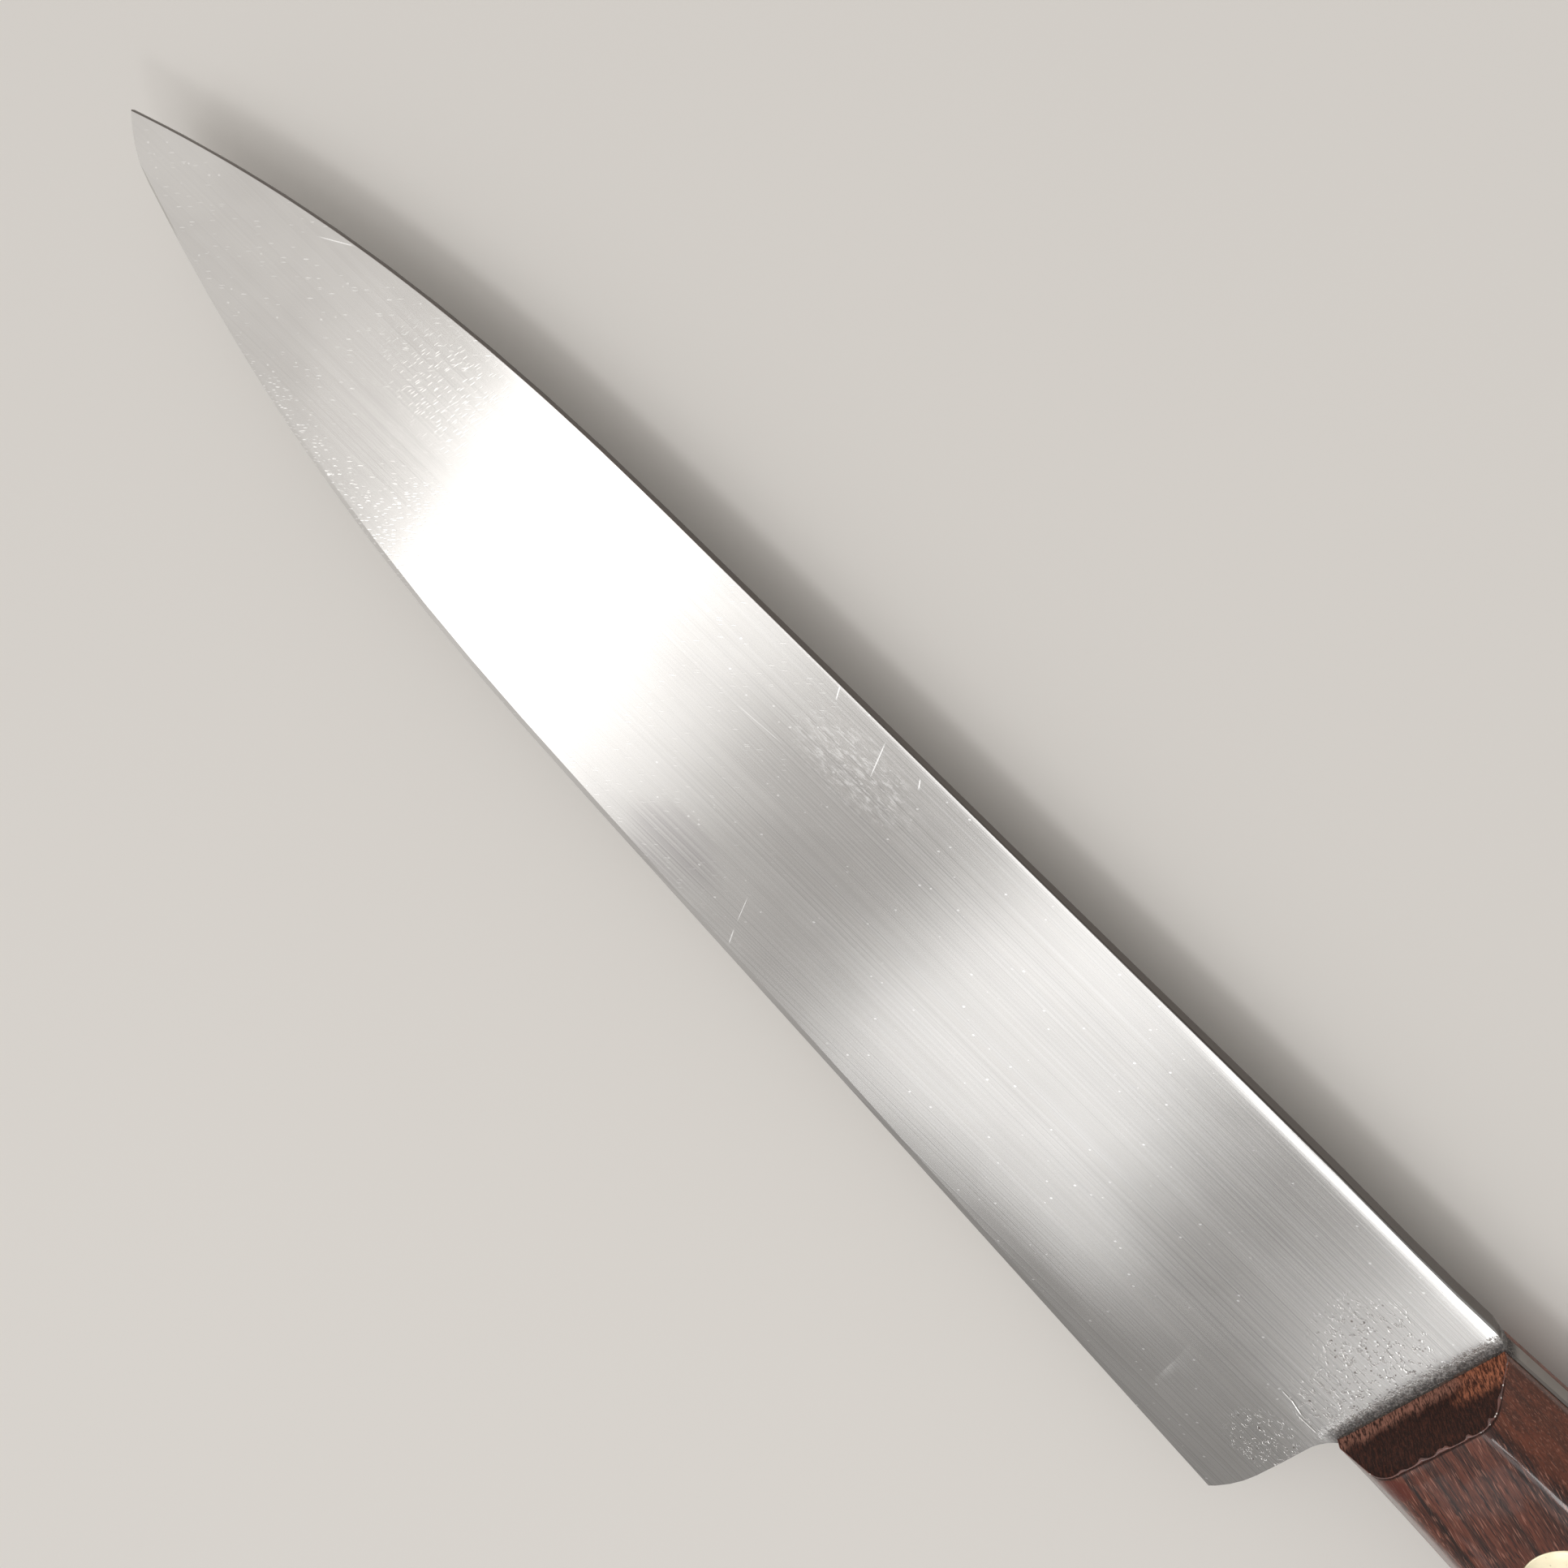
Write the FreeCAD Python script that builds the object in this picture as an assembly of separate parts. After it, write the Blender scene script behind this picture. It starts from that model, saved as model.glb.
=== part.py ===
import FreeCAD, Part
import math
import os

# A full-tang chef knife lying on its right side.
# Worked in knife coordinates, in millimetres: X runs from the tip to the butt, Y points from the
# edge to the spine with the straight of the spine at Y = 0, and Z = 0 is the blade's middle plane.
# The last step moves every piece so that the origin is the middle of the footprint, at the bottom.

# Blade, seen from the side.
blade_length = 206.8
spine_fall = 0.5
spine_tip_drop = 10.8
spine_curve_length = 78.0
spine_curve_power = 2.45
heel_depth = 42.6
edge_slope = 0.0706
belly_length = 90.0
belly_power = 2.6
tip_depth = 2.7
tip_round = 6.0
tip_bow = 0.62

# Heel: a straight back edge that curves forward to the edge corner and back to the handle.
heel_setback = 1.2
heel_choil_rise = 3.6
heel_toe_rise = 6.6
heel_toe_reach = 1.3

# Blade, across its thickness.
tang_thickness = 2.7
tip_thickness = 0.6
taper_power = 1.4
shoulder_thickness = 0.5
shoulder_most = 0.8  # of the spine's thickness, where the tip is thinner than the shoulder
edge_thickness = 0.08
bevel_height = 0.9
spine_ease = 0.25
grind_power_at_heel = 7.0
grind_fade_power = 4.0

# Handle, seen from the side.
handle_length = 118.0
top_step = 0.8
top_step_run = 3.5
front_rise = 0.05
front_depth = 24.4
top_arch = 1.1
top_arch_from_front = 48.0
butt_top_drop = 3.4
belly_depth = 26.1
belly_from_front = 32.0
waist_depth = 24.8
waist_from_front = 78.0
butt_depth = 29.0
butt_bow = 2.0
butt_top_radius = 9.0
butt_bottom_radius = 8.0

# Handle scales, across their thickness.
scale_thickness = 7.0
scale_shrink = 0.3
flank_land = 1.2
facet_width = 4.0
ridge_radius = 4.0
front_ahead = 0.3
front_lean = 2.5
front_skew = 0.4

# Cutler's rivets: a headed post driven into a headed sleeve.
rivet_head_diameter = 11.1
rivet_head_thickness = 1.8
sleeve_diameter = 6.35
post_diameter = 4.2
post_length = 10.0
post_nose = 0.4
sleeve_end_gap = 0.6
rivet_from_front = 23.4
rivet_spacing = 35.5
rivet_drops = {"front": 12.7, "middle": 12.2, "rear": 13.0}
hole_clearance = 0.05
head_clearance = 0.01

# Worked out from the sizes above.
half_tang = tang_thickness / 2
heel_x = blade_length - heel_setback
side_z = half_tang + scale_thickness

# How the shapes are worked out: the blade's sections crowd towards the tip, the handle's outline
# starts a little ahead of its front, and cutting blocks reach well past the part.
section_count = 12
section_crowding = 1.6
side_points = 6
lead = 5.0
past_part = 20.0
close = 0.001


def at(x, y, z=0.0):
    return FreeCAD.Vector(x, y, z)


def line(start, end):
    return Part.LineSegment(start, end).toShape()


def arc(start, middle, end):
    return Part.Arc(start, middle, end).toShape()


def curve(points):
    spline = Part.BSplineCurve()
    spline.interpolate(points)
    return spline.toShape()


def arc_from_tangent(start, end):
    """Arc from start, where it runs along Y, to end."""
    dx = end.x - start.x
    dy = end.y - start.y
    radius = (dx * dx + dy * dy) / (2 * dx)
    turn = math.asin(dy / radius) / 2
    middle = at(start.x + radius * (1 - math.cos(turn)), start.y + radius * math.sin(turn))
    return arc(start, middle, end)


def prism(edges, low, high):
    """Straight block over the outline that the edges close, from Z = low to Z = high."""
    face = Part.Face(Part.Wire(Part.__sortEdges__(edges)))
    face.translate(at(0, 0, low))
    return face.extrude(at(0, 0, high - low))


def disc(x, y, low, high, diameter):
    return Part.makeCylinder(diameter / 2, high - low, at(x, y, low))


# ---- blade ----

def spine_y(x):
    """Height of the spine: a slight even fall, then the drop to the tip."""
    along = max(0.0, 1 - x / spine_curve_length)
    return -spine_fall * (1 - x / blade_length) - spine_tip_drop * along ** spine_curve_power


def edge_y(x):
    """Height of the cutting edge: a straight slope from the heel, then the belly up to the tip."""
    toe_x = heel_x - heel_toe_reach
    straight = edge_slope * (toe_x - x) - heel_depth
    belly_rise = spine_y(0) - tip_depth + heel_depth - edge_slope * toe_x
    along = max(0.0, 1 - x / belly_length)
    return straight + belly_rise * along ** belly_power


def section(x):
    """Closed outline across the blade at x: eased spine, ground sides and the edge's bevel."""
    along = max(0.0, x / blade_length)
    height = spine_y(x) - edge_y(x)
    spine_half = (tip_thickness + (tang_thickness - tip_thickness) * along ** taper_power) / 2
    shoulder_half = min(shoulder_thickness / 2, spine_half * shoulder_most)
    ease = spine_ease * spine_half / half_tang
    bevel = bevel_height * math.sqrt(height / heel_depth)
    power = 1 + (grind_power_at_heel - 1) * along ** grind_fade_power
    top = spine_y(x) - ease
    run = top - (edge_y(x) + bevel)

    def side(sign):
        points = []
        for i in range(side_points):
            down = i / (side_points - 1)
            half = spine_half - (spine_half - shoulder_half) * down ** power
            points.append(at(x, top - run * down, sign * half))
        return points

    left = side(1)
    right = side(-1)
    spine_left = at(x, spine_y(x), spine_half - ease)
    spine_right = at(x, spine_y(x), ease - spine_half)
    edge_left = at(x, edge_y(x), edge_thickness / 2)
    edge_right = at(x, edge_y(x), -edge_thickness / 2)
    edges = [
        line(spine_left, left[0]),
        curve(left),
        line(left[-1], edge_left),
        line(edge_left, edge_right),
        line(edge_right, right[-1]),
        curve(right[::-1]),
        line(right[0], spine_right),
        line(spine_right, spine_left),
    ]
    return Part.Wire(edges)


def blade_outline():
    """Limits of the blade: the tip, the step down to the handle and the heel's back edge."""
    low = -heel_depth - past_part
    tip = at(0, spine_y(0))
    round_end = at(tip_round, edge_y(tip_round))
    chord = round_end - tip
    bow = at(chord.y, -chord.x) * (tip_bow / chord.Length)
    round_middle = (tip + round_end) * 0.5 + bow
    far_down = at((tip.y - low) / 2, low)
    step_start = at(blade_length - top_step_run, 0)
    front_up = at(blade_length, -top_step)
    front_down = at(blade_length, -front_depth)
    straight_top = at(heel_x, -front_depth - heel_choil_rise)
    straight_bottom = at(heel_x, heel_toe_rise - heel_depth)
    toe = at(heel_x - heel_toe_reach, -heel_depth)
    return [
        arc(round_end, round_middle, tip),
        line(tip, at(0, past_part)),
        line(at(0, past_part), at(step_start.x, past_part)),
        line(at(step_start.x, past_part), step_start),
        line(step_start, front_up),
        line(front_up, front_down),
        arc_from_tangent(straight_top, front_down),
        line(straight_top, straight_bottom),
        arc_from_tangent(straight_bottom, toe),
        line(toe, at(toe.x, low)),
        line(at(toe.x, low), far_down),
        line(far_down, round_end),
    ]


def rivet_places():
    """Name, X and Y of each rivet."""
    places = []
    for i, (name, drop) in enumerate(rivet_drops.items()):
        places.append((name, blade_length + rivet_from_front + i * rivet_spacing, -drop))
    return places


def handle_edges(inset):
    """Outline of the handle, drawn in by inset and carried on ahead of the handle's front."""
    front = blade_length
    butt = front + handle_length - butt_bow - inset
    top = [
        at(front - lead, -top_step - lead * front_rise - inset),
        at(front, -top_step - inset),
        at(front + top_arch_from_front, top_arch - inset),
        at(butt, -butt_top_drop - inset),
    ]
    bottom = [
        at(front - lead, inset - front_depth),
        at(front, inset - front_depth),
        at(front + belly_from_front, inset - belly_depth),
        at(front + waist_from_front, inset - waist_depth),
        at(butt, inset - butt_depth),
    ]
    butt_middle = at(butt + butt_bow, (top[-1].y + bottom[-1].y) / 2)
    return [
        curve(top),
        arc(top[-1], butt_middle, bottom[-1]),
        curve(bottom),
        line(bottom[0], top[0]),
    ]


def handle_block(inset, low, high):
    """Block of the handle's outline with both corners of the butt rounded."""
    block = prism(handle_edges(inset), low, high)
    corners = [e for e in block.Edges if e.BoundBox.ZLength > (high - low) / 2]
    butt_corners = [e for e in corners if e.BoundBox.XMin > blade_length + handle_length / 2]
    for corner in butt_corners:
        upper = corner.BoundBox.YMin > -belly_depth / 2
        radius = (butt_top_radius if upper else butt_bottom_radius) - inset
        middle = corner.BoundBox.Center
        match = [e for e in block.Edges if e.BoundBox.Center.distanceToPoint(middle) < close]
        block = block.makeFillet(radius, match)
    return block


def rim(block, z):
    """Edges of the block's outline at height z, except along its front."""
    found = []
    for e in block.Edges:
        box = e.BoundBox
        flat = abs(box.ZMin - z) < close and abs(box.ZMax - z) < close
        if flat and box.XLength > close:
            found.append(e)
    return found


def make_blade():
    """Ground blade and full tang in one piece of steel, drilled for the rivets."""
    stations = []
    for i in range(section_count + 1):
        stations.append(blade_length * (i / section_count) ** section_crowding)
    ground = Part.makeLoft([section(x) for x in stations], True, False)
    ground = ground.common(prism(blade_outline(), -past_part, past_part))
    tang = handle_block(0, -half_tang, half_tang)
    tang = tang.makeChamfer(spine_ease, rim(tang, half_tang) + rim(tang, -half_tang))
    ahead = Part.makeBox(past_part, 3 * heel_depth, past_part)
    ahead.translate(at(blade_length - past_part, -2 * heel_depth, -past_part / 2))
    tang = tang.cut(ahead)
    blade = ground.fuse(tang)
    for name, x, y in rivet_places():
        blade = blade.cut(disc(x, y, -past_part, past_part, sleeve_diameter + 2 * hole_clearance))
    return blade


# ---- handle scales ----

def front_cutter():
    """Everything ahead of the scale's front, which leans back and is slightly skew."""
    foot = blade_length - front_ahead
    slope = front_lean / scale_thickness
    outline = Part.makePolygon([
        at(foot - past_part, 0, -past_part),
        at(foot - slope * (past_part + half_tang), 0, -past_part),
        at(foot + slope * (past_part - half_tang), 0, past_part),
        at(foot - past_part, 0, past_part),
        at(foot - past_part, 0, -past_part),
    ])
    cutter = Part.Face(outline).extrude(at(0, -2 * heel_depth, 0))
    cutter.translate(at(0, heel_depth - front_depth / 2, 0))
    skew = -math.degrees(math.atan(front_skew / front_depth))
    cutter.rotate(at(foot, -front_depth / 2), at(0, 0, 1), skew)
    return cutter


def make_left_scale():
    """Left scale: flat on the tang, faceted flanks, rounded ridges and a front that leans back."""
    block = handle_block(scale_shrink, half_tang, side_z)
    facet_height = scale_thickness - flank_land
    block = block.makeChamfer(facet_height, facet_width, rim(block, side_z))
    ridges = rim(block, side_z)
    block = block.makeFillet(ridge_radius, ridges)
    block = block.cut(front_cutter())
    for name, x, y in rivet_places():
        block = block.cut(disc(x, y, 0, side_z, sleeve_diameter + 2 * hole_clearance))
        seat = side_z - rivet_head_thickness
        block = block.cut(disc(x, y, seat, side_z + past_part, rivet_head_diameter + 2 * head_clearance))
    return block


# ---- rivets ----

def make_sleeve(x, y):
    """Sleeve half: head on the left side, blind bore open towards the right."""
    head = disc(x, y, side_z - rivet_head_thickness, side_z, rivet_head_diameter)
    end = -side_z + rivet_head_thickness + sleeve_end_gap
    body = disc(x, y, end, side_z - rivet_head_thickness, sleeve_diameter)
    bore_top = -side_z + rivet_head_thickness + post_length
    bore = disc(x, y, end, bore_top, post_diameter)
    return head.fuse(body).cut(bore)


def make_post(x, y):
    """Post half: head on the right side, shank driven to the bottom of the sleeve's bore."""
    head = disc(x, y, -side_z, rivet_head_thickness - side_z, rivet_head_diameter)
    bore_top = -side_z + rivet_head_thickness + post_length
    shank = disc(x, y, rivet_head_thickness - side_z, bore_top, post_diameter)
    nose = [e for e in shank.Edges if abs(e.BoundBox.ZMin - bore_top) < close and e.Closed]
    return head.fuse(shank.makeChamfer(post_nose, nose))


# ---- every piece, moved to the footprint's middle and written ----

left_scale = make_left_scale()
pieces = {
    "blade": make_blade(),
    "left_scale": left_scale,
    "right_scale": left_scale.mirror(at(0, 0), at(0, 0, 1)),
}
for name, x, y in rivet_places():
    pieces["rivet_sleeve_" + name] = make_sleeve(x, y)
    pieces["rivet_post_" + name] = make_post(x, y)

whole = Part.makeCompound(list(pieces.values())).optimalBoundingBox(False)
os.makedirs("parts", exist_ok=True)
for node, shape in pieces.items():
    placed = shape.removeSplitter()
    placed.translate(at(-whole.Center.x, -whole.Center.y, -whole.ZMin))
    placed.exportStep("parts/" + node + ".step")
    print(node, placed.ShapeType, len(placed.Solids), placed.isValid(), round(placed.Volume, 1))
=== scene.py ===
import math
import random

import bmesh
import bpy
from mathutils import Matrix, Vector


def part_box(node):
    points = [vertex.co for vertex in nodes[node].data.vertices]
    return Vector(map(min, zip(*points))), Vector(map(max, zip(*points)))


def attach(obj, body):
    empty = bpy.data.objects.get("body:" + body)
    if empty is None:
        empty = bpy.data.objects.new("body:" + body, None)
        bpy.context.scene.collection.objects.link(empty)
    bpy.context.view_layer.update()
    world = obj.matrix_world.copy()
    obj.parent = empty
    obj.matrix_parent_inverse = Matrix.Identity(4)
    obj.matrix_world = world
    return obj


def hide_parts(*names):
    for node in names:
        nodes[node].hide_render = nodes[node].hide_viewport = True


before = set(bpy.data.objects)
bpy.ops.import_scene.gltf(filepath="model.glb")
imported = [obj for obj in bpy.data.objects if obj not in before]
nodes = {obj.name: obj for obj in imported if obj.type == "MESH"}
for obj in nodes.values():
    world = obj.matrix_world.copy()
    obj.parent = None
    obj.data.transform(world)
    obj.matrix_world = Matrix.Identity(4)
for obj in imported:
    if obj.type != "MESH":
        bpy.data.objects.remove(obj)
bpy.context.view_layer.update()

mm = 0.001
rivet_names = ("front", "middle", "rear")

# Where things are on the knife, from the frame. It lies on its right side with the tip towards -X
# and the spine towards +Y.
blade_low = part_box("blade")[0]
scale_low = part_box("left_scale")[0]
handle_front = scale_low.x
front_ys = [v.co.y for v in nodes["left_scale"].data.vertices if v.co.x < handle_front + 2 * mm]
front_bottom = min(front_ys)
front_top = max(front_ys)
tang_top = scale_low.z
tang_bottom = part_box("right_scale")[1].z
middle_z = (tang_top + tang_bottom) / 2
blade_ys = [v.co.y for v in nodes["blade"].data.vertices if v.co.x < handle_front - 10 * mm]
spine_y = max(blade_ys)

# The scales' fronts lean back 2.5 mm over their 7 mm, and are slightly skew across the blade.
front_lean = 2.5 / 7.0
front_skew = 0.0164

# The rivets' two halves.
rivet_barrel_radius = 3.175 * mm
rivet_shank_radius = 2.1 * mm
rivet_head_thickness = 1.8 * mm
rivet_nose = 0.4 * mm
rivet_rim = 0.28 * mm
rivet_crown = 0.07 * mm
turning_steps = 72

# How far apart two points of a mesh still count as one.
lathe_merge = 0.0005 * mm
cad_merge = 0.001 * mm
strand_merge = 0.002 * mm

# Hand sanding that took the scales' corners off.
eased_corner = 0.12 * mm
sharp_corner_degrees = 28

# The spine's slight fall along the blade and its drop to the tip, in millimetres.
spine_curve_length = 78.0
spine_curve_power = 2.45
spine_tip_drop = 10.8
spine_fall = 0.5


# ---- shader graphs written as expressions ----

class Value:
    """A shader socket that can be used in sums, products and powers."""

    def __init__(self, graph, socket):
        self.graph = graph
        self.socket = socket

    def math(self, operation, first, second):
        return self.graph.node("Math", {"operation": operation}, {0: first, 1: second})

    def __add__(self, other):
        return self.math("ADD", self, other)

    __radd__ = __add__

    def __sub__(self, other):
        return self.math("SUBTRACT", self, other)

    def __rsub__(self, other):
        return self.math("SUBTRACT", other, self)

    def __mul__(self, other):
        return self.math("MULTIPLY", self, other)

    __rmul__ = __mul__

    def __truediv__(self, other):
        return self.math("DIVIDE", self, other)

    def __pow__(self, other):
        return self.math("POWER", self, other)

    def __abs__(self):
        return self.math("ABSOLUTE", self, 0.0)

    def at_least(self, other):
        return self.math("MAXIMUM", self, other)

    def rise(self, low, high):
        """0 below low, 1 above high, smooth between. With low above high it falls instead."""
        settings = {"interpolation_type": "SMOOTHSTEP"}
        return self.graph.node("MapRange", settings, {0: self, 1: low, 2: high, 3: 0.0, 4: 1.0})


def any_of(masks):
    """The largest of several masks."""
    most = masks[0]
    for mask in masks[1:]:
        most = most.at_least(mask)
    return most


class Graph:
    """A node tree and the one way of adding to it."""

    def __init__(self, tree):
        self.tree = tree

    def node(self, kind, settings=None, inputs=None, output=0):
        """Add a node: its settings first, then a value or a link for each socket given."""
        made = self.tree.nodes.new("ShaderNode" + kind)
        for name, value in (settings or {}).items():
            setattr(made, name, value)
        for name, value in (inputs or {}).items():
            self.give(made.inputs[name], value)
        return Value(self, made.outputs[output])

    def give(self, socket, value):
        """Link a value to a socket, or set the socket to a plain number or colour."""
        if isinstance(value, Value):
            self.tree.links.new(value.socket, socket)
        else:
            socket.default_value = value


class Finish(Graph):
    """A material in the making."""

    def __init__(self, name):
        self.material = bpy.data.materials.new(name)
        self.material.use_nodes = True
        super().__init__(self.material.node_tree)
        self.shader = self.tree.nodes["Principled BSDF"]
        metres = self.node("TexCoord", output="Object")
        self.place = self.node("VectorMath", {"operation": "SCALE"}, {0: metres, "Scale": 1 / mm})
        self.x = self.node("SeparateXYZ", inputs={0: self.place}, output="X")
        self.y = self.node("SeparateXYZ", inputs={0: self.place}, output="Y")
        self.z = self.node("SeparateXYZ", inputs={0: self.place}, output="Z")

    def counted(self, size, turn, shift):
        """Place counted in grains of that size, turned about Z and shifted."""
        inputs = {"Vector": self.place, "Location": (shift, shift, shift)}
        inputs["Rotation"] = (0, 0, turn)
        inputs["Scale"] = size
        return self.node("Mapping", {"vector_type": "TEXTURE"}, inputs)

    def grain(self, size, turn=0.0, detail=1.0, roughness=0.5, wander=0.0, shift=0.0):
        """Noise whose grains are size millimetres long, wide and deep, turned about Z."""
        inputs = {"Vector": self.counted(size, turn, shift), "Scale": 1.0, "Detail": detail}
        inputs["Roughness"] = roughness
        inputs["Distortion"] = wander
        return self.node("TexNoise", None, inputs)

    def flecks(self, size, turn, share, shift=0.0):
        """1 at small flecks of about that size, in a share of the cells of a random grid."""
        rim = 0.34
        core = 0.16
        faint_share = 0.02
        cells = {"Vector": self.counted(size, turn, shift), "Scale": 1.0, "Randomness": 1.0}
        distance = self.node("TexVoronoi", None, cells, "Distance")
        colour = self.node("TexVoronoi", None, cells, "Color")
        chance = self.node("SeparateColor", None, {0: colour}, 0)
        return distance.rise(rim, core) * chance.rise(1 - share, 1 - share + faint_share)

    def streaks(self, length, width, turn, low, high, shift=0.0):
        """1 on straight streaks about that long and wide, ending wherever their grain runs out."""
        return self.grain((length, width, width), turn, 1.0, shift=shift).rise(low, high)

    def scratch(self, start, end, width):
        """1 along a straight scratch between two places, fading out at its ends."""
        fading = 0.3
        run_x = end[0] - start[0]
        run_y = end[1] - start[1]
        length = math.hypot(run_x, run_y)
        from_x = self.x - start[0]
        from_y = self.y - start[1]
        along = (from_x * run_x + from_y * run_y) / length
        across = abs(from_y * run_x - from_x * run_y) / length
        ends = along.rise(0.0, length * fading) * along.rise(length, length * (1 - fading))
        return across.rise(width, width * 0.4) * ends

    def spot(self, at_x, at_y, radius_x, radius_y):
        """1 in the middle of an oval patch, falling softly to 0 at its rim."""
        across = (self.x - at_x) / radius_x
        up = (self.y - at_y) / radius_y
        return (across * across + up * up).rise(1.0, 0.1)

    def blend(self, share, first, second):
        """Colour between first and second."""
        settings = {"data_type": "RGBA"}
        return self.node("Mix", settings, {0: share, 6: first, 7: second}, 2)

    def bump(self, height):
        """Normal of a surface raised by height, in millimetres."""
        return self.node("Bump", None, {"Strength": 1.0, "Distance": mm, "Height": height})

    def feed(self, **sockets):
        """Give the surface shader's sockets their values and links."""
        for name, value in sockets.items():
            self.give(self.shader.inputs[name.replace("_", " ")], value)

    def off_tang(self):
        """How far a place is from the tang's flat face, in millimetres."""
        return abs(self.z - middle_z / mm) - (tang_top - middle_z) / mm

    def behind_front(self):
        """How far behind the scales' leaning fronts a place is, in millimetres."""
        across = self.y - front_bottom / mm
        return self.x - handle_front / mm - self.off_tang() * front_lean - across * front_skew


def grey(level):
    return (level, level, level, 1)


# ---- materials ----

def satin_steel():
    """Worn satin stainless steel: lengthwise polishing lines, scratches, pits and handle grime, with
    painted reflections and glints.
    """
    steel = Finish("satin_steel")
    front = handle_front / mm
    front_foot = front_bottom / mm

    # Polishing lines along the blade, hair-fine on top of broader uneven ones, fading at the tip.
    toward_tip = steel.x.rise(-20, -105)
    kept = 1 - 0.82 * toward_tip
    hairs = steel.grain((400, 0.19, 9), 0.0, 1.0, 0.7)
    lines = steel.grain((900, 0.55, 12), 0.0, 3.0, 0.75, shift=7)
    broad = steel.grain((500, 2.2, 12), 0.0, 2.0, shift=19)
    patchy = steel.grain((35, 5, 9), 0.0, 2.0, shift=53).rise(0.3, 0.7)
    cloud = steel.grain((22, 14, 8), 0.4, 3.0, shift=3)

    # Dashes from use, thickest along the edge behind the tip, painted bright where the edge glints; and
    # tiny sparkles that are painted glints.
    dash_and_glint_patches = ((-131, -4.6, 9, 3.0), (-121, -7, 9, 3.6), (-112, -8, 9, 5), (-107, -4, 8, 8))
    crowded = any_of([steel.spot(*patch) for patch in dash_and_glint_patches])
    hatched = steel.spot(-112, 12, 14, 8) * 0.5
    dash_turn = 0.72
    hatch_turn = 1.25
    dashes_and_edge_glints = steel.flecks((1.1, 0.24, 1), dash_turn, 0.85) * crowded
    stray_dashes = steel.flecks((1.5, 0.22, 1), dash_turn, 0.16, 17)
    stray_dashes = stray_dashes * toward_tip * (0.15 + 0.6 * patchy)
    hatch = steel.flecks((1.5, 0.22, 1), hatch_turn, 0.80, 31) * hatched
    painted_sparkles = steel.flecks((0.66, 0.46, 1), 0.7, 0.035, 5) * (1 - 0.6 * toward_tip)
    flecks = any_of([dashes_and_edge_glints, stray_dashes, hatch])

    # A few separate scratches: short ones by the spine and the edge, and a hairline along.
    hairline = steel.scratch((-66.5, 9.6), (-58.5, 10.2), 0.07) * 0.5
    short_scratches = (
        ((-59.1, 20.4), (-58.2, 18.6), 0.10),
        ((-51.2, 19.6), (-49.4, 14.6), 0.09),
        ((-45.6, 19.2), (-44.7, 17.9), 0.12),
        ((-49.6, -7.5), (-48.2, -11.6), 0.06),
        ((-48.0, -12.2), (-47.0, -14.6), 0.10),
        ((-136.3, 14.4), (-131.6, 17.0), 0.08),
    )
    scratches = any_of([hairline] + [steel.scratch(*scratch) for scratch in short_scratches])

    # A pale mottled patch by the spine where something acid dried, and by the edge a darker patch of
    # lines, a painted dark reflection over the polishing lines.
    mottle = steel.grain((1.6, 0.42, 1), 0.05, 4.0, 0.75, shift=37)
    smear = mottle.rise(0.46, 0.64) * steel.spot(-51.5, 14.2, 11, 5.0)
    dark_reflection_lines = lines.rise(0.62, 0.40) * steel.spot(-60, -10, 8, 5.5)

    # Fine wormy pitting where wet food sat by the handle and in the heel's curve, and a small crack.
    pit_patches = ((front - 7.5, 8.5, 8.5, 7.5), (front - 4, 0, 6, 6), (front - 4, -11, 6, 5))
    pitted = any_of([steel.spot(*patch) for patch in pit_patches])
    worm = abs(steel.grain((0.70, 0.34, 2), -0.5, 1.0, wander=0.3, shift=2) - 0.5).rise(0.07, 0.02)
    pits = worm * steel.grain((0.8, 0.6, 3), 0.0, 1.0, shift=9).rise(0.53, 0.60) * pitted
    specks = steel.flecks((0.55, 0.50, 1), 0.2, 0.10, 23) * pitted
    crack = (
        ((35.4, -4.0), (37.4, -4.1), 0.14),
        ((36.6, -3.9), (39.6, -4.6), 0.14),
        ((38.8, -4.9), (42.4, -4.8), 0.14),
    )
    pits = any_of([pits] + [steel.scratch(*part) for part in crack])

    # Hard grime packed against the handle's front, ragged towards the blade; its dark band is partly
    # real grime and partly a painted reflection of the wood beside it.
    ahead = (steel.y - front_foot) * front_skew + front - steel.x
    ragged = steel.grain((0.42, 0.34, 0.5), 0.0, 3.0, 0.75)
    beside = (steel.y - front_foot).rise(-2.5, 0.5) * (0.3 - ahead).rise(2.5, 1.0)
    grime = (ahead + (ragged - 0.5) * 3.0).rise(2.0, 0.5) * beside
    speckle = steel.grain((0.20, 0.20, 0.20), 0.0, 2.0, 0.7, shift=4)

    # The polish rolls over along the spine, so its last millimetres catch other light.
    along = steel.x - blade_low.x / mm
    drop = (1 - along / spine_curve_length).at_least(0.0) ** spine_curve_power * spine_tip_drop
    fall = (1 - along / (front - blade_low.x / mm)) * spine_fall
    below_spine = spine_y / mm - drop - fall - steel.y
    roll_width = 0.9 + 1.9 * steel.x.rise(-75, 45)
    roll = (1 - below_spine / roll_width).at_least(0.0) * steel.x.rise(front + 1, front - 1)
    roll_height = roll ** 3 * roll_width * (0.018 + 0.027 * steel.x.rise(-45, 15))

    # The narrow back of the spine is painted dark, a painted reflection of dark surroundings, and the
    # steel shut in the handle is painted darker too.
    inside = abs(steel.z - middle_z / mm).rise(1.2, 1.0) * steel.x.rise(8, 20)
    back = below_spine.rise(0.16, 0.04).at_least(below_spine.rise(0.6, 0.4) * inside)
    back = back * steel.x.rise(front + 1, front - 1)
    shut_in = steel.x.rise(front, front + 1)

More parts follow.
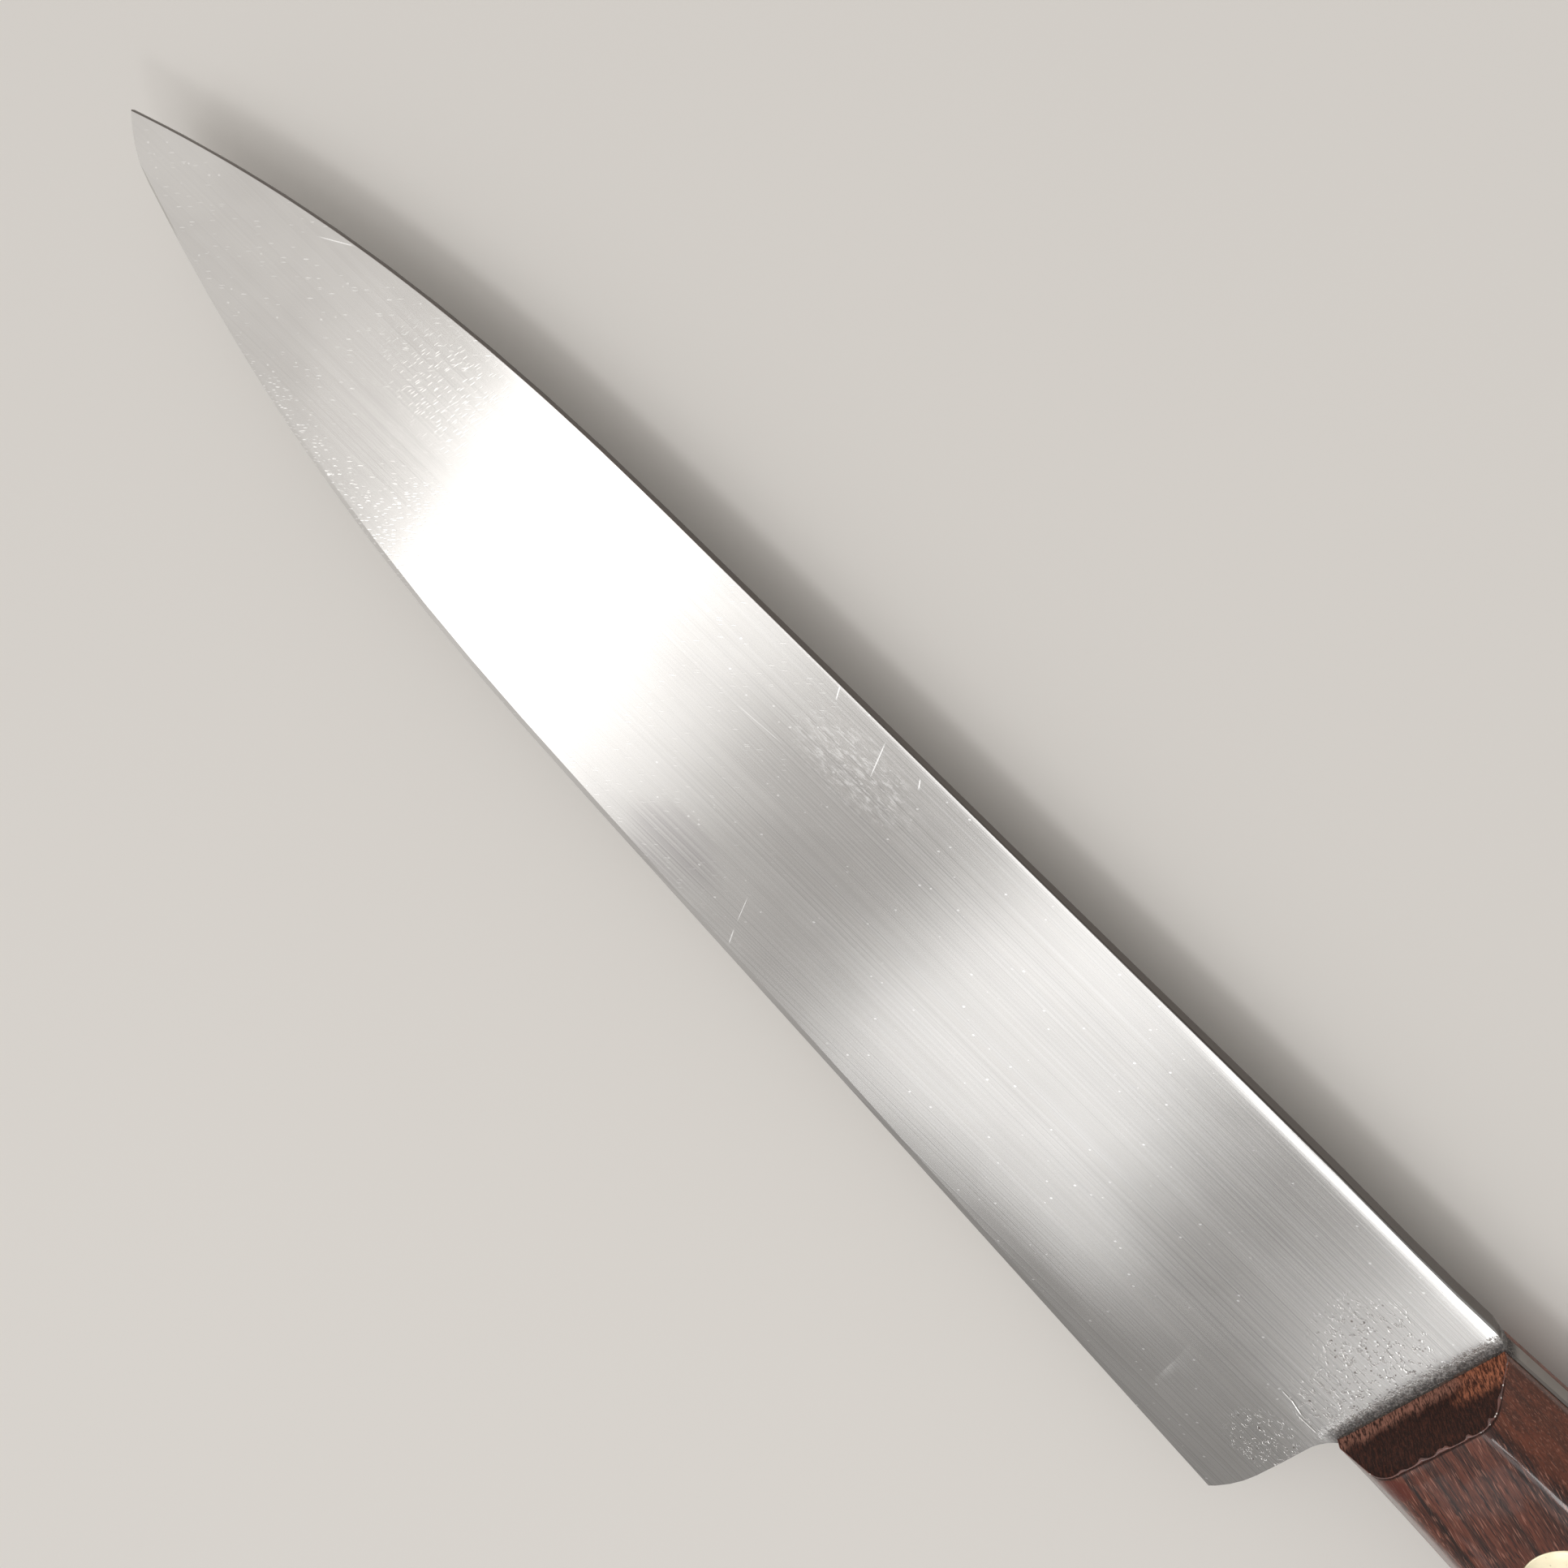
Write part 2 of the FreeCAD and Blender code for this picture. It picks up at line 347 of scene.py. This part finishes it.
    tone = steel.blend(cloud.rise(0.3, 0.7), (0.58, 0.57, 0.555, 1), (0.65, 0.64, 0.625, 1))
    tone = steel.blend(broad.rise(0.35, 0.7) * 0.10 * kept, tone, grey(0.50))
    tone = steel.blend(lines.rise(0.42, 0.68) * (0.14 + 0.24 * patchy) * kept, tone, grey(0.74))
    tone = steel.blend(hairs.rise(0.52, 0.30) * (0.44 - 0.20 * patchy) * kept, tone, grey(0.40))
    # Painted dark reflection by the edge, on the polishing lines.
    tone = steel.blend(dark_reflection_lines * 0.45, tone, (0.36, 0.34, 0.36, 1))
    tone = steel.blend(smear * 0.26, tone, grey(0.85))
    tone = steel.blend(pits * 0.26, tone, (0.30, 0.26, 0.23, 1))
    tone = steel.blend(specks * 0.75, tone, (0.13, 0.09, 0.075, 1))
    # Dashes and hatch marks painted near white: real marks with painted glints; the sparkles below are
    # painted glints.
    tone = steel.blend(flecks * 0.55, tone, grey(0.95))
    tone = steel.blend(painted_sparkles * 0.85, tone, grey(0.98))
    tone = steel.blend(scratches * 0.7, tone, grey(0.95))
    # Painted dark reflection along the spine's back.
    tone = steel.blend(back * 0.90, tone, (0.085, 0.068, 0.058, 1))
    tone = steel.blend(shut_in * 0.75, tone, (0.20, 0.175, 0.155, 1))
    # Grime colour, which also stands in for a painted dark reflection of the wood.
    grime_and_reflection_tone = steel.blend(speckle.rise(0.45, 0.68), (0.020, 0.017, 0.016, 1), (0.21, 0.185, 0.175, 1))
    tone = steel.blend(grime * 0.92, tone, grime_and_reflection_tone)

    rough = 0.11 + 0.08 * hairs + 0.05 * cloud + 0.10 * scratches + 0.10 * flecks + 0.06 * smear
    rough = rough + 0.35 * grime + 0.20 * shut_in + 0.12 * back
    height = (hairs * 0.0026 + lines * 0.0022) * kept + broad * 0.0012
    height = height - flecks * 0.0035 - pits * 0.015 - roll_height
    height = height + grime * (0.04 + speckle * 0.10)
    steel.feed(Base_Color=tone, Roughness=rough, Metallic=1 - 0.8 * grime)
    steel.feed(Normal=steel.bump(height))
    return steel.material


def rosewood():
    """Dark oiled rosewood under old lacquer, with bare rough end grain on the scales' fronts, and
    painted light, shade and reflection on them.
    """
    wood = Finish("rosewood")
    turn = -0.2
    front_foot = front_bottom / mm

    # Growth rings seen along the grain, then vessels and short fine fibres, dark and pale.
    rings = wood.grain((80, 2.2, 2.2), turn, 3.0, 0.65, 0.4)
    bands = wood.grain((22, 0.8, 0.9), turn, 3.0, 0.7, shift=13)
    fibres = wood.grain((3.6, 0.20, 0.24), turn - 0.03, 2.0, 0.7, shift=5)
    vessels = wood.streaks(2.6, 0.17, turn, 0.60, 0.68, 41)
    pale = wood.streaks(2.2, 0.15, turn - 0.06, 0.60, 0.70, 17)

    ground = wood.blend(rings.rise(0.36, 0.62), (0.024, 0.009, 0.006, 1), (0.130, 0.034, 0.018, 1))
    ground = wood.blend(bands.rise(0.50, 0.34) * 0.68, ground, (0.010, 0.005, 0.005, 1))
    ground = wood.blend(fibres.rise(0.50, 0.66) * 0.50, ground, (0.19, 0.066, 0.040, 1))
    ground = wood.blend(fibres.rise(0.46, 0.34) * 0.6, ground, (0.010, 0.005, 0.005, 1))
    ground = wood.blend(vessels * 0.75, ground, (0.008, 0.004, 0.004, 1))
    ground = wood.blend(pale * 0.55, ground, (0.42, 0.19, 0.135, 1))

    # Bare end grain over the front face, roughest at its foot; its foot is painted pale as a painted
    # highlight, and the rest darker as painted shade.
    cut = wood.behind_front().rise(0.30, 0.08)
    up = wood.off_tang()
    ends = wood.grain((0.5, 0.22, 0.9), 0.0, 3.0, 0.7, shift=8)
    clump = wood.grain((3, 2.0, 2.0), 0.0, 2.0, shift=29)
    lit_foot = (up + (clump - 0.5) * 1.6).rise(2.0, 0.9)
    upper = (wood.y - front_foot + (clump - 0.5) * 6).rise(14.5, 20)
    end_in_shade = wood.blend(ends.rise(0.4, 0.75), (0.020, 0.008, 0.006, 1), (0.080, 0.026, 0.016, 1))
    end_lit = wood.blend(ends.rise(0.36, 0.6), (0.030, 0.013, 0.010, 1), (0.31, 0.145, 0.105, 1))
    end_orange = wood.blend(ends.rise(0.38, 0.66), (0.060, 0.020, 0.012, 1), (0.46, 0.165, 0.088, 1))
    # Painted light on the end grain: pale at the lit foot, dark in painted shade above.
    ending = wood.blend(lit_foot, end_in_shade, end_lit)
    ending = wood.blend(upper * up.rise(3.8, 2.4), ending, end_orange)

    # The facet by the spine is painted redder, a painted reflection of warm surroundings in the lacquer,
    # and a thick run of lacquer sits behind the front's lower end.
    painted_reflection_facet = up.rise(6.8, 6.2) * (wood.y - front_foot).rise(11, 15)
    ground = wood.blend(painted_reflection_facet * 0.35, ground, (0.17, 0.055, 0.030, 1))
    run = wood.spot(handle_front / mm + 4.3, front_foot + 4.2, 2.0, 2.3) * (1 - cut)
    ground = wood.blend(run.rise(0.1, 0.5) * 0.75, ground, (0.11, 0.020, 0.012, 1))
    tone = wood.blend(cut, ground, ending)

    # Hair scratches in the lacquer, and its loss along the front and in worn spots.
    rub = wood.streaks(3.0, 0.10, turn + 0.5, 0.70, 0.76, 61)
    scuff = wood.streaks(2.4, 0.09, turn - 0.3, 0.70, 0.76, 71)
    marks = rub.at_least(scuff)
    worn = wood.grain((12, 6, 6), 0.0, 3.0, 0.6, shift=51).rise(0.56, 0.74)
    tone = wood.blend(marks * 0.22, tone, (0.30, 0.20, 0.16, 1))

    coat = (1 - cut * 0.95) * (0.62 - 0.25 * worn) * (1 - 0.5 * marks)
    rough = 0.42 + 0.14 * worn + 0.35 * cut - 0.08 * fibres
    height = fibres * 0.016 + bands * 0.02 - vessels * 0.03 - marks * 0.008
    height = height * (1 - cut) + cut * (ends * 0.16 + clump * 0.2)
    wood.feed(Base_Color=tone, Roughness=rough, Coat_Weight=coat, Normal=wood.bump(height))
    wood.feed(Coat_Roughness=0.09, Coat_IOR=1.5, IOR=1.45, Specular_IOR_Level=0.25)
    return wood.material


def old_brass():
    """Pale rivet brass, rubbed bright, with fine scratches all ways and a dull tarnish in spots."""
    brass = Finish("old_brass")
    hairs = brass.grain((4, 0.12, 0.5), 0.7, 2.0, 0.6)
    first = brass.streaks(3, 0.10, 0.3, 0.66, 0.74, 3)
    second = brass.streaks(2.5, 0.09, 1.4, 0.66, 0.74, 13)
    third = brass.streaks(3.5, 0.11, -0.6, 0.66, 0.74, 27)
    marks = any_of([first, second, third])
    dull = brass.grain((2.5, 2.0, 2.0), 0.0, 3.0, 0.6)
    pits = brass.flecks((0.45, 0.4, 0.5), 0.3, 0.03)
    tone = brass.blend(dull.rise(0.35, 0.7), (0.84, 0.76, 0.55, 1), (0.77, 0.69, 0.48, 1))
    tone = brass.blend(pits * 0.7, tone, (0.20, 0.14, 0.07, 1))
    rough = 0.26 + 0.12 * hairs + 0.14 * dull.rise(0.45, 0.7) + 0.1 * marks
    height = hairs * 0.002 - marks * 0.002 - pits * 0.012
    brass.feed(Base_Color=tone, Roughness=rough, Metallic=1.0, Normal=brass.bump(height))
    return brass.material


def packed_grime():
    """Grey-brown dirt and polish residue, dry and crumbly."""
    grime = Finish("packed_grime")
    crumbs = grime.grain((0.25, 0.25, 0.25), 0.0, 3.0, 0.7)
    patches = grime.grain((1.4, 1.4, 1.4), 0.0, 2.0, shift=6)
    tone = grime.blend(crumbs.rise(0.35, 0.7), (0.012, 0.010, 0.009, 1), (0.10, 0.085, 0.075, 1))
    tone = grime.blend(patches.rise(0.5, 0.7) * 0.5, tone, (0.09, 0.045, 0.03, 1))
    grime.feed(Base_Color=tone, Roughness=0.7 + 0.25 * crumbs, Normal=grime.bump(crumbs * 0.12))
    return grime.material


def run_lacquer():
    """Thick amber-red lacquer that ran and set in beads on the wood's corner, with pale specks painted
    on as glints.
    """
    lacquer = Finish("run_lacquer")
    cloud = lacquer.grain((1.5, 1.5, 1.5), 0.0, 3.0)
    dust = lacquer.grain((0.2, 0.2, 0.2), 0.0, 2.0, shift=4)
    tone = lacquer.blend(cloud.rise(0.35, 0.65), (0.055, 0.012, 0.008, 1), (0.13, 0.030, 0.016, 1))
    # Pale specks: painted glints on the lacquer beads.
    specks = lacquer.flecks((0.45, 0.45, 0.45), 0.0, 0.55, 9)
    tone = lacquer.blend(specks * 0.85, tone, (0.86, 0.82, 0.78, 1))
    rough = 0.07 + 0.10 * dust.rise(0.4, 0.8)
    height = cloud * 0.03 + dust * 0.01
    lacquer.feed(Base_Color=tone, Roughness=rough, Normal=lacquer.bump(height), IOR=1.52)
    lacquer.feed(Coat_Weight=1.0, Coat_Roughness=0.05)
    return lacquer.material


def floor_paint():
    """Plain pale matt floor."""
    floor = Finish("floor_paint")
    cloud = floor.grain((260, 260, 260), 0.0, 3.0)
    tone = floor.blend(cloud, (0.72, 0.70, 0.67, 1), (0.75, 0.73, 0.70, 1))
    floor.feed(Base_Color=tone, Roughness=0.75)
    return floor.material


# ---- pieces ----

def finished(name, bm, material):
    """Turn a bmesh into a smooth-shaded piece that rides with the knife."""
    mesh = bpy.data.meshes.new(name)
    bm.to_mesh(mesh)
    bm.free()
    piece = bpy.data.objects.new(name, mesh)
    bpy.context.scene.collection.objects.link(piece)
    mesh.materials.append(material)
    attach(piece, "root")
    return piece


def shade(bm, sharp_degrees):
    """Smooth faces with creases where they meet at more than the angle."""
    for face in bm.faces:
        face.smooth = True
    for edge in bm.edges:
        if len(edge.link_faces) == 2:
            edge.smooth = edge.calc_face_angle() < math.radians(sharp_degrees)


def turned(profile, centre_x, centre_y):
    """Lathe a profile of radius and height round an upright axis."""
    bm = bmesh.new()
    points = [bm.verts.new((centre_x + radius, centre_y, height)) for radius, height in profile]
    edges = [bm.edges.new(pair) for pair in zip(points, points[1:])]
    bmesh.ops.spin(bm, geom=points + edges, cent=(centre_x, centre_y, 0), axis=(0, 0, 1),
                   angle=2 * math.pi, steps=turning_steps, use_merge=True)
    bmesh.ops.remove_doubles(bm, verts=bm.verts, dist=lathe_merge)
    bmesh.ops.recalc_face_normals(bm, faces=bm.faces)
    return bm


def head_profile(radius, outside, inside):
    """Rivet head from its middle outwards: a very low crown, a rounded rim and a flat underside."""
    out = 1 if outside > inside else -1
    rim_steps = 5
    points = [(0, outside), (radius * 0.45, outside - out * rivet_crown * 0.2)]
    points.append((radius * 0.75, outside - out * rivet_crown * 0.55))
    for step in range(rim_steps + 1):
        angle = math.pi / 2 * step / rim_steps
        across = radius - rivet_rim + rivet_rim * math.sin(angle)
        depth = rivet_crown + rivet_rim - rivet_rim * math.cos(angle)
        points.append((across, outside - out * depth))
    points.append((radius, inside))
    return points


def rivet_sleeve(name, material):
    """Left half of a rivet: head and barrel with a blind bore for the post."""
    low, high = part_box("rivet_sleeve_" + name)
    post_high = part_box("rivet_post_" + name)[1]
    radius = (high.x - low.x) / 2
    under_head = high.z - rivet_head_thickness
    profile = head_profile(radius, high.z, under_head)
    profile.append((rivet_barrel_radius, under_head))
    profile.append((rivet_barrel_radius, low.z))
    profile.append((rivet_shank_radius, low.z))
    profile.append((rivet_shank_radius, post_high.z))
    profile.append((0, post_high.z))
    bm = turned(profile, (low.x + high.x) / 2, (low.y + high.y) / 2)
    shade(bm, 35)
    piece = finished("turned_sleeve_" + name, bm, material)
    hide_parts("rivet_sleeve_" + name)


def rivet_post(name, material):
    """Right half of a rivet: head and a shank with a chamfered nose."""
    low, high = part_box("rivet_post_" + name)
    radius = (high.x - low.x) / 2
    under_head = low.z + rivet_head_thickness
    profile = head_profile(radius, low.z, under_head)
    profile.append((rivet_shank_radius, under_head))
    profile.append((rivet_shank_radius, high.z - rivet_nose))
    profile.append((rivet_shank_radius - rivet_nose, high.z))
    profile.append((0, high.z))
    bm = turned(profile, (low.x + high.x) / 2, (low.y + high.y) / 2)
    shade(bm, 35)
    piece = finished("turned_post_" + name, bm, material)
    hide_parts("rivet_post_" + name)


def merged_copy(node):
    """A CAD node's mesh with its loose triangles joined."""
    bm = bmesh.new()
    bm.from_mesh(nodes[node].data)
    bmesh.ops.remove_doubles(bm, verts=bm.verts, dist=cad_merge)
    return bm


def eased_scale(node, material):
    """A scale with its sharp corners eased by sanding, which leaves a fine seam round the rivets."""
    bm = merged_copy(node)
    bmesh.ops.dissolve_limit(bm, angle_limit=math.radians(0.3), verts=bm.verts, edges=bm.edges)
    sharp = math.radians(sharp_corner_degrees)
    corners = [edge for edge in bm.edges if edge.is_manifold and edge.calc_face_angle() > sharp]
    bmesh.ops.bevel(bm, geom=corners, offset=eased_corner, offset_type="OFFSET", segments=2,
                    profile=0.5, affect="EDGES", clamp_overlap=False, material=-1)
    bmesh.ops.triangulate(bm, faces=bm.faces)
    shade(bm, 40)
    piece = finished("eased_" + node, bm, material)
    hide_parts(node)


def front_corner(node):
    """The corner between a scale's front and its side, as points from its lower end to its upper."""
    bm = merged_copy(node)
    above_tang = -0.01 * mm
    on_front = 0.05 * mm
    middle = (front_bottom + front_top) / 2
    found = {}
    for vert in bm.verts:
        up = abs(vert.co.z - middle_z) - (tang_top - middle_z)
        face = handle_front + up * front_lean + (vert.co.y - front_bottom) * front_skew
        if up > above_tang and abs(vert.co.x - face) < on_front:
            found[math.atan2(up, middle - vert.co.y)] = vert.co.copy()
    bm.free()
    return [found[angle] for angle in sorted(found)]


def evenly(path, step):
    """The same path with a point every step."""
    points = []
    spare = 0.0
    for start, end in zip(path, path[1:]):
        length = (end - start).length
        while spare < length:
            points.append(start.lerp(end, spare / length))
            spare += step
        spare -= length
    return points


def strand(name, path, radii, material):
    """A closed strand along a path, as thick at each point as the radius given for it."""
    line = bpy.data.curves.new(name + "_line", "CURVE")
    line.dimensions = "3D"
    line.bevel_depth = 1.0
    line.bevel_resolution = 2
    line.use_fill_caps = True
    spline = line.splines.new("POLY")
    spline.points.add(len(path) - 1)
    for point, place, radius in zip(spline.points, path, radii):
        point.co = (*place, 1)
        point.radius = radius
    holder = bpy.data.objects.new(name + "_line", line)
    made = bpy.data.meshes.new_from_object(holder)
    bpy.data.objects.remove(holder)
    bm = bmesh.new()
    bm.from_mesh(made)
    bmesh.ops.remove_doubles(bm, verts=bm.verts, dist=strand_merge)
    bmesh.ops.smooth_vert(bm, verts=bm.verts, factor=0.4,
                          use_axis_x=True, use_axis_y=True, use_axis_z=True)
    bmesh.ops.recalc_face_normals(bm, faces=bm.faces)
    shade(bm, 80)
    return finished(name, bm, material)


def lacquer_edge(node, seed, material):
    """Lacquer that ran to the corner of a scale's front and set there as a thin line of beads."""
    draw = random.Random(seed)
    side = 1 if node == "left_scale" else -1
    path = evenly(front_corner(node), 0.2 * mm)
    radii = [(0.07 + 0.02 * draw.random()) * mm for point in path]
    large_beads = [9.6, 12.1, 12.9, 15.8, 18.8]
    small_beads = [draw.uniform(2, 26) for _ in range(5)]
    for bead, bead_height in enumerate(large_beads + small_beads):
        smallest, largest = (0.20, 0.30) if bead < len(large_beads) else (0.05, 0.16)
        size = draw.uniform(smallest, largest) * mm
        reach = draw.uniform(0.25, 0.55) * mm
        for i, point in enumerate(path):
            gap = point.y - front_bottom - bead_height * mm
            radii[i] += size * math.exp(-(gap / reach) ** 2)
    sunk_forward = 0.55
    sunk_down = 1.02
    places = []
    for point, radius in zip(path, radii):
        places.append(point + Vector((-sunk_forward * radius, 0, -side * sunk_down * radius)))
    strand("lacquer_edge_" + node.split("_")[0], places, radii, material)


def grime_line(node, seed, material):
    """Old dirt packed in the angle between the blade and the foot of a scale's front."""
    draw = random.Random(seed)
    side = 1 if node == "left_scale" else -1
    face_z = tang_top if side > 0 else tang_bottom
    low = Vector((handle_front, front_bottom + 0.3 * mm, face_z))
    high = Vector((handle_front + (front_top - front_bottom) * front_skew, front_top - 0.3 * mm, face_z))
    path = evenly([low, high], 0.25 * mm)
    sunk = 0.35
    radii = []
    places = []
    for point in path:
        radius = draw.uniform(0.14, 0.30) * mm
        radii.append(radius)
        stray = draw.uniform(-0.08, 0.04) * mm
        places.append(point + Vector((stray, 0, -side * sunk * radius)))
    strand("grime_line_" + node.split("_")[0], places, radii, material)


# ---- light, floor and camera ----

def softbox(name, place, size, watts):
    """A soft panel hung level over the knife, facing down."""
    data = bpy.data.lights.new(name, "AREA")
    data.shape = "RECTANGLE"
    data.size = size[0]
    data.size_y = size[1]
    data.energy = watts
    panel = bpy.data.objects.new(name, data)
    bpy.context.scene.collection.objects.link(panel)
    panel.location = place
    panel.visible_camera = False


def studio():
    """Soft panels overhead, a plain grey room that is dimmer towards the handle's end."""
    radiance_watts = math.pi
    panel_height = 1.0
    for name, centre, size, level in (
        ("tip_softbox", (-0.344, -0.45), (0.172, 1.00), 2.3),
        ("tip_softbox_edge", (-0.194, -0.45), (0.128, 1.00), 0.78),
        ("heel_softbox", (0.172, -0.26), (0.120, 1.06), 1.10),
        ("heel_softbox_middle", (0.279, -0.26), (0.094, 1.06), 1.00),
        ("heel_softbox_corner", (0.358, -0.64), (0.064, 0.30), 0.95),
        ("heel_softbox_low_corner", (0.410, -0.73), (0.040, 0.16), 0.95),
        ("heel_fill", (0.770, -0.45), (0.460, 0.30), 0.60),
        ("spine_strip", (0.240, -0.26), (0.840, 0.16), 2.2),
        ("handle_strip", (0.740, -0.21), (0.280, 0.20), 9.0),
    ):
        watts = level * radiance_watts * size[0] * size[1]
        softbox(name, (*centre, panel_height), size, watts)
    world = bpy.data.worlds.new("plain_room")
    bpy.context.scene.world = world
    world.use_nodes = True
    room = Graph(world.node_tree)
    background = room.tree.nodes["Background"]
    direction = room.node("TexCoord", output="Generated")
    toward_handle = room.node("SeparateXYZ", inputs={0: direction}, output="X")
    tip_end_level = 0.88
    handle_end_level = 0.36
    dimming = toward_handle.rise(-0.40, 0.36) * (tip_end_level - handle_end_level)
    room.give(background.inputs["Strength"], tip_end_level - dimming)
    room.give(background.inputs["Color"], (1.0, 0.965, 0.93, 1))


def floor():
    """A pale floor under the knife."""
    half_width = 15.0
    bm = bmesh.new()
    bmesh.ops.create_grid(bm, x_segments=1, y_segments=1, size=half_width)
    mesh = bpy.data.meshes.new("floor")
    bm.to_mesh(mesh)
    bm.free()
    mesh.materials.append(floor_paint())
    ground = bpy.data.objects.new("floor", mesh)
    bpy.context.scene.collection.objects.link(ground)


def camera():
    """Close above the middle of the blade, rolled so that the knife runs from corner to corner."""
    data = bpy.data.cameras.new("camera")
    eye = bpy.data.objects.new("camera", data)
    bpy.context.scene.collection.objects.link(eye)
    focal_length_to_width = 1935 / 1932
    data.sensor_width = 36
    data.lens = data.sensor_width * focal_length_to_width
    data.clip_start = 0.01
    right = Vector((0.7129, 0.6192, -0.3293)).normalized()
    back = Vector((0, 0.4695, 0.883)).normalized()
    up = back.cross(right).normalized()
    from_tip_and_edge = Vector((0.10655, 0.1127, 0.15895))
    place = Vector((blade_low.x, blade_low.y, middle_z)) + from_tip_and_edge
    turn = Matrix((right, up, back)).transposed()
    eye.matrix_world = Matrix.Translation(place) @ turn.to_4x4()
    bpy.context.scene.camera = eye


# ---- the knife ----

camera()
studio()
floor()

steel = satin_steel()
wood = rosewood()
brass = old_brass()
grime = packed_grime()
lacquer = run_lacquer()

nodes["blade"].data.materials[0] = steel
for seed, node in enumerate(("left_scale", "right_scale")):
    eased_scale(node, wood)
    lacquer_edge(node, 20 + seed, lacquer)
    grime_line(node, 30 + seed, grime)
for name in rivet_names:
    rivet_sleeve(name, brass)
    rivet_post(name, brass)

bpy.context.scene.view_settings.view_transform = "Standard"
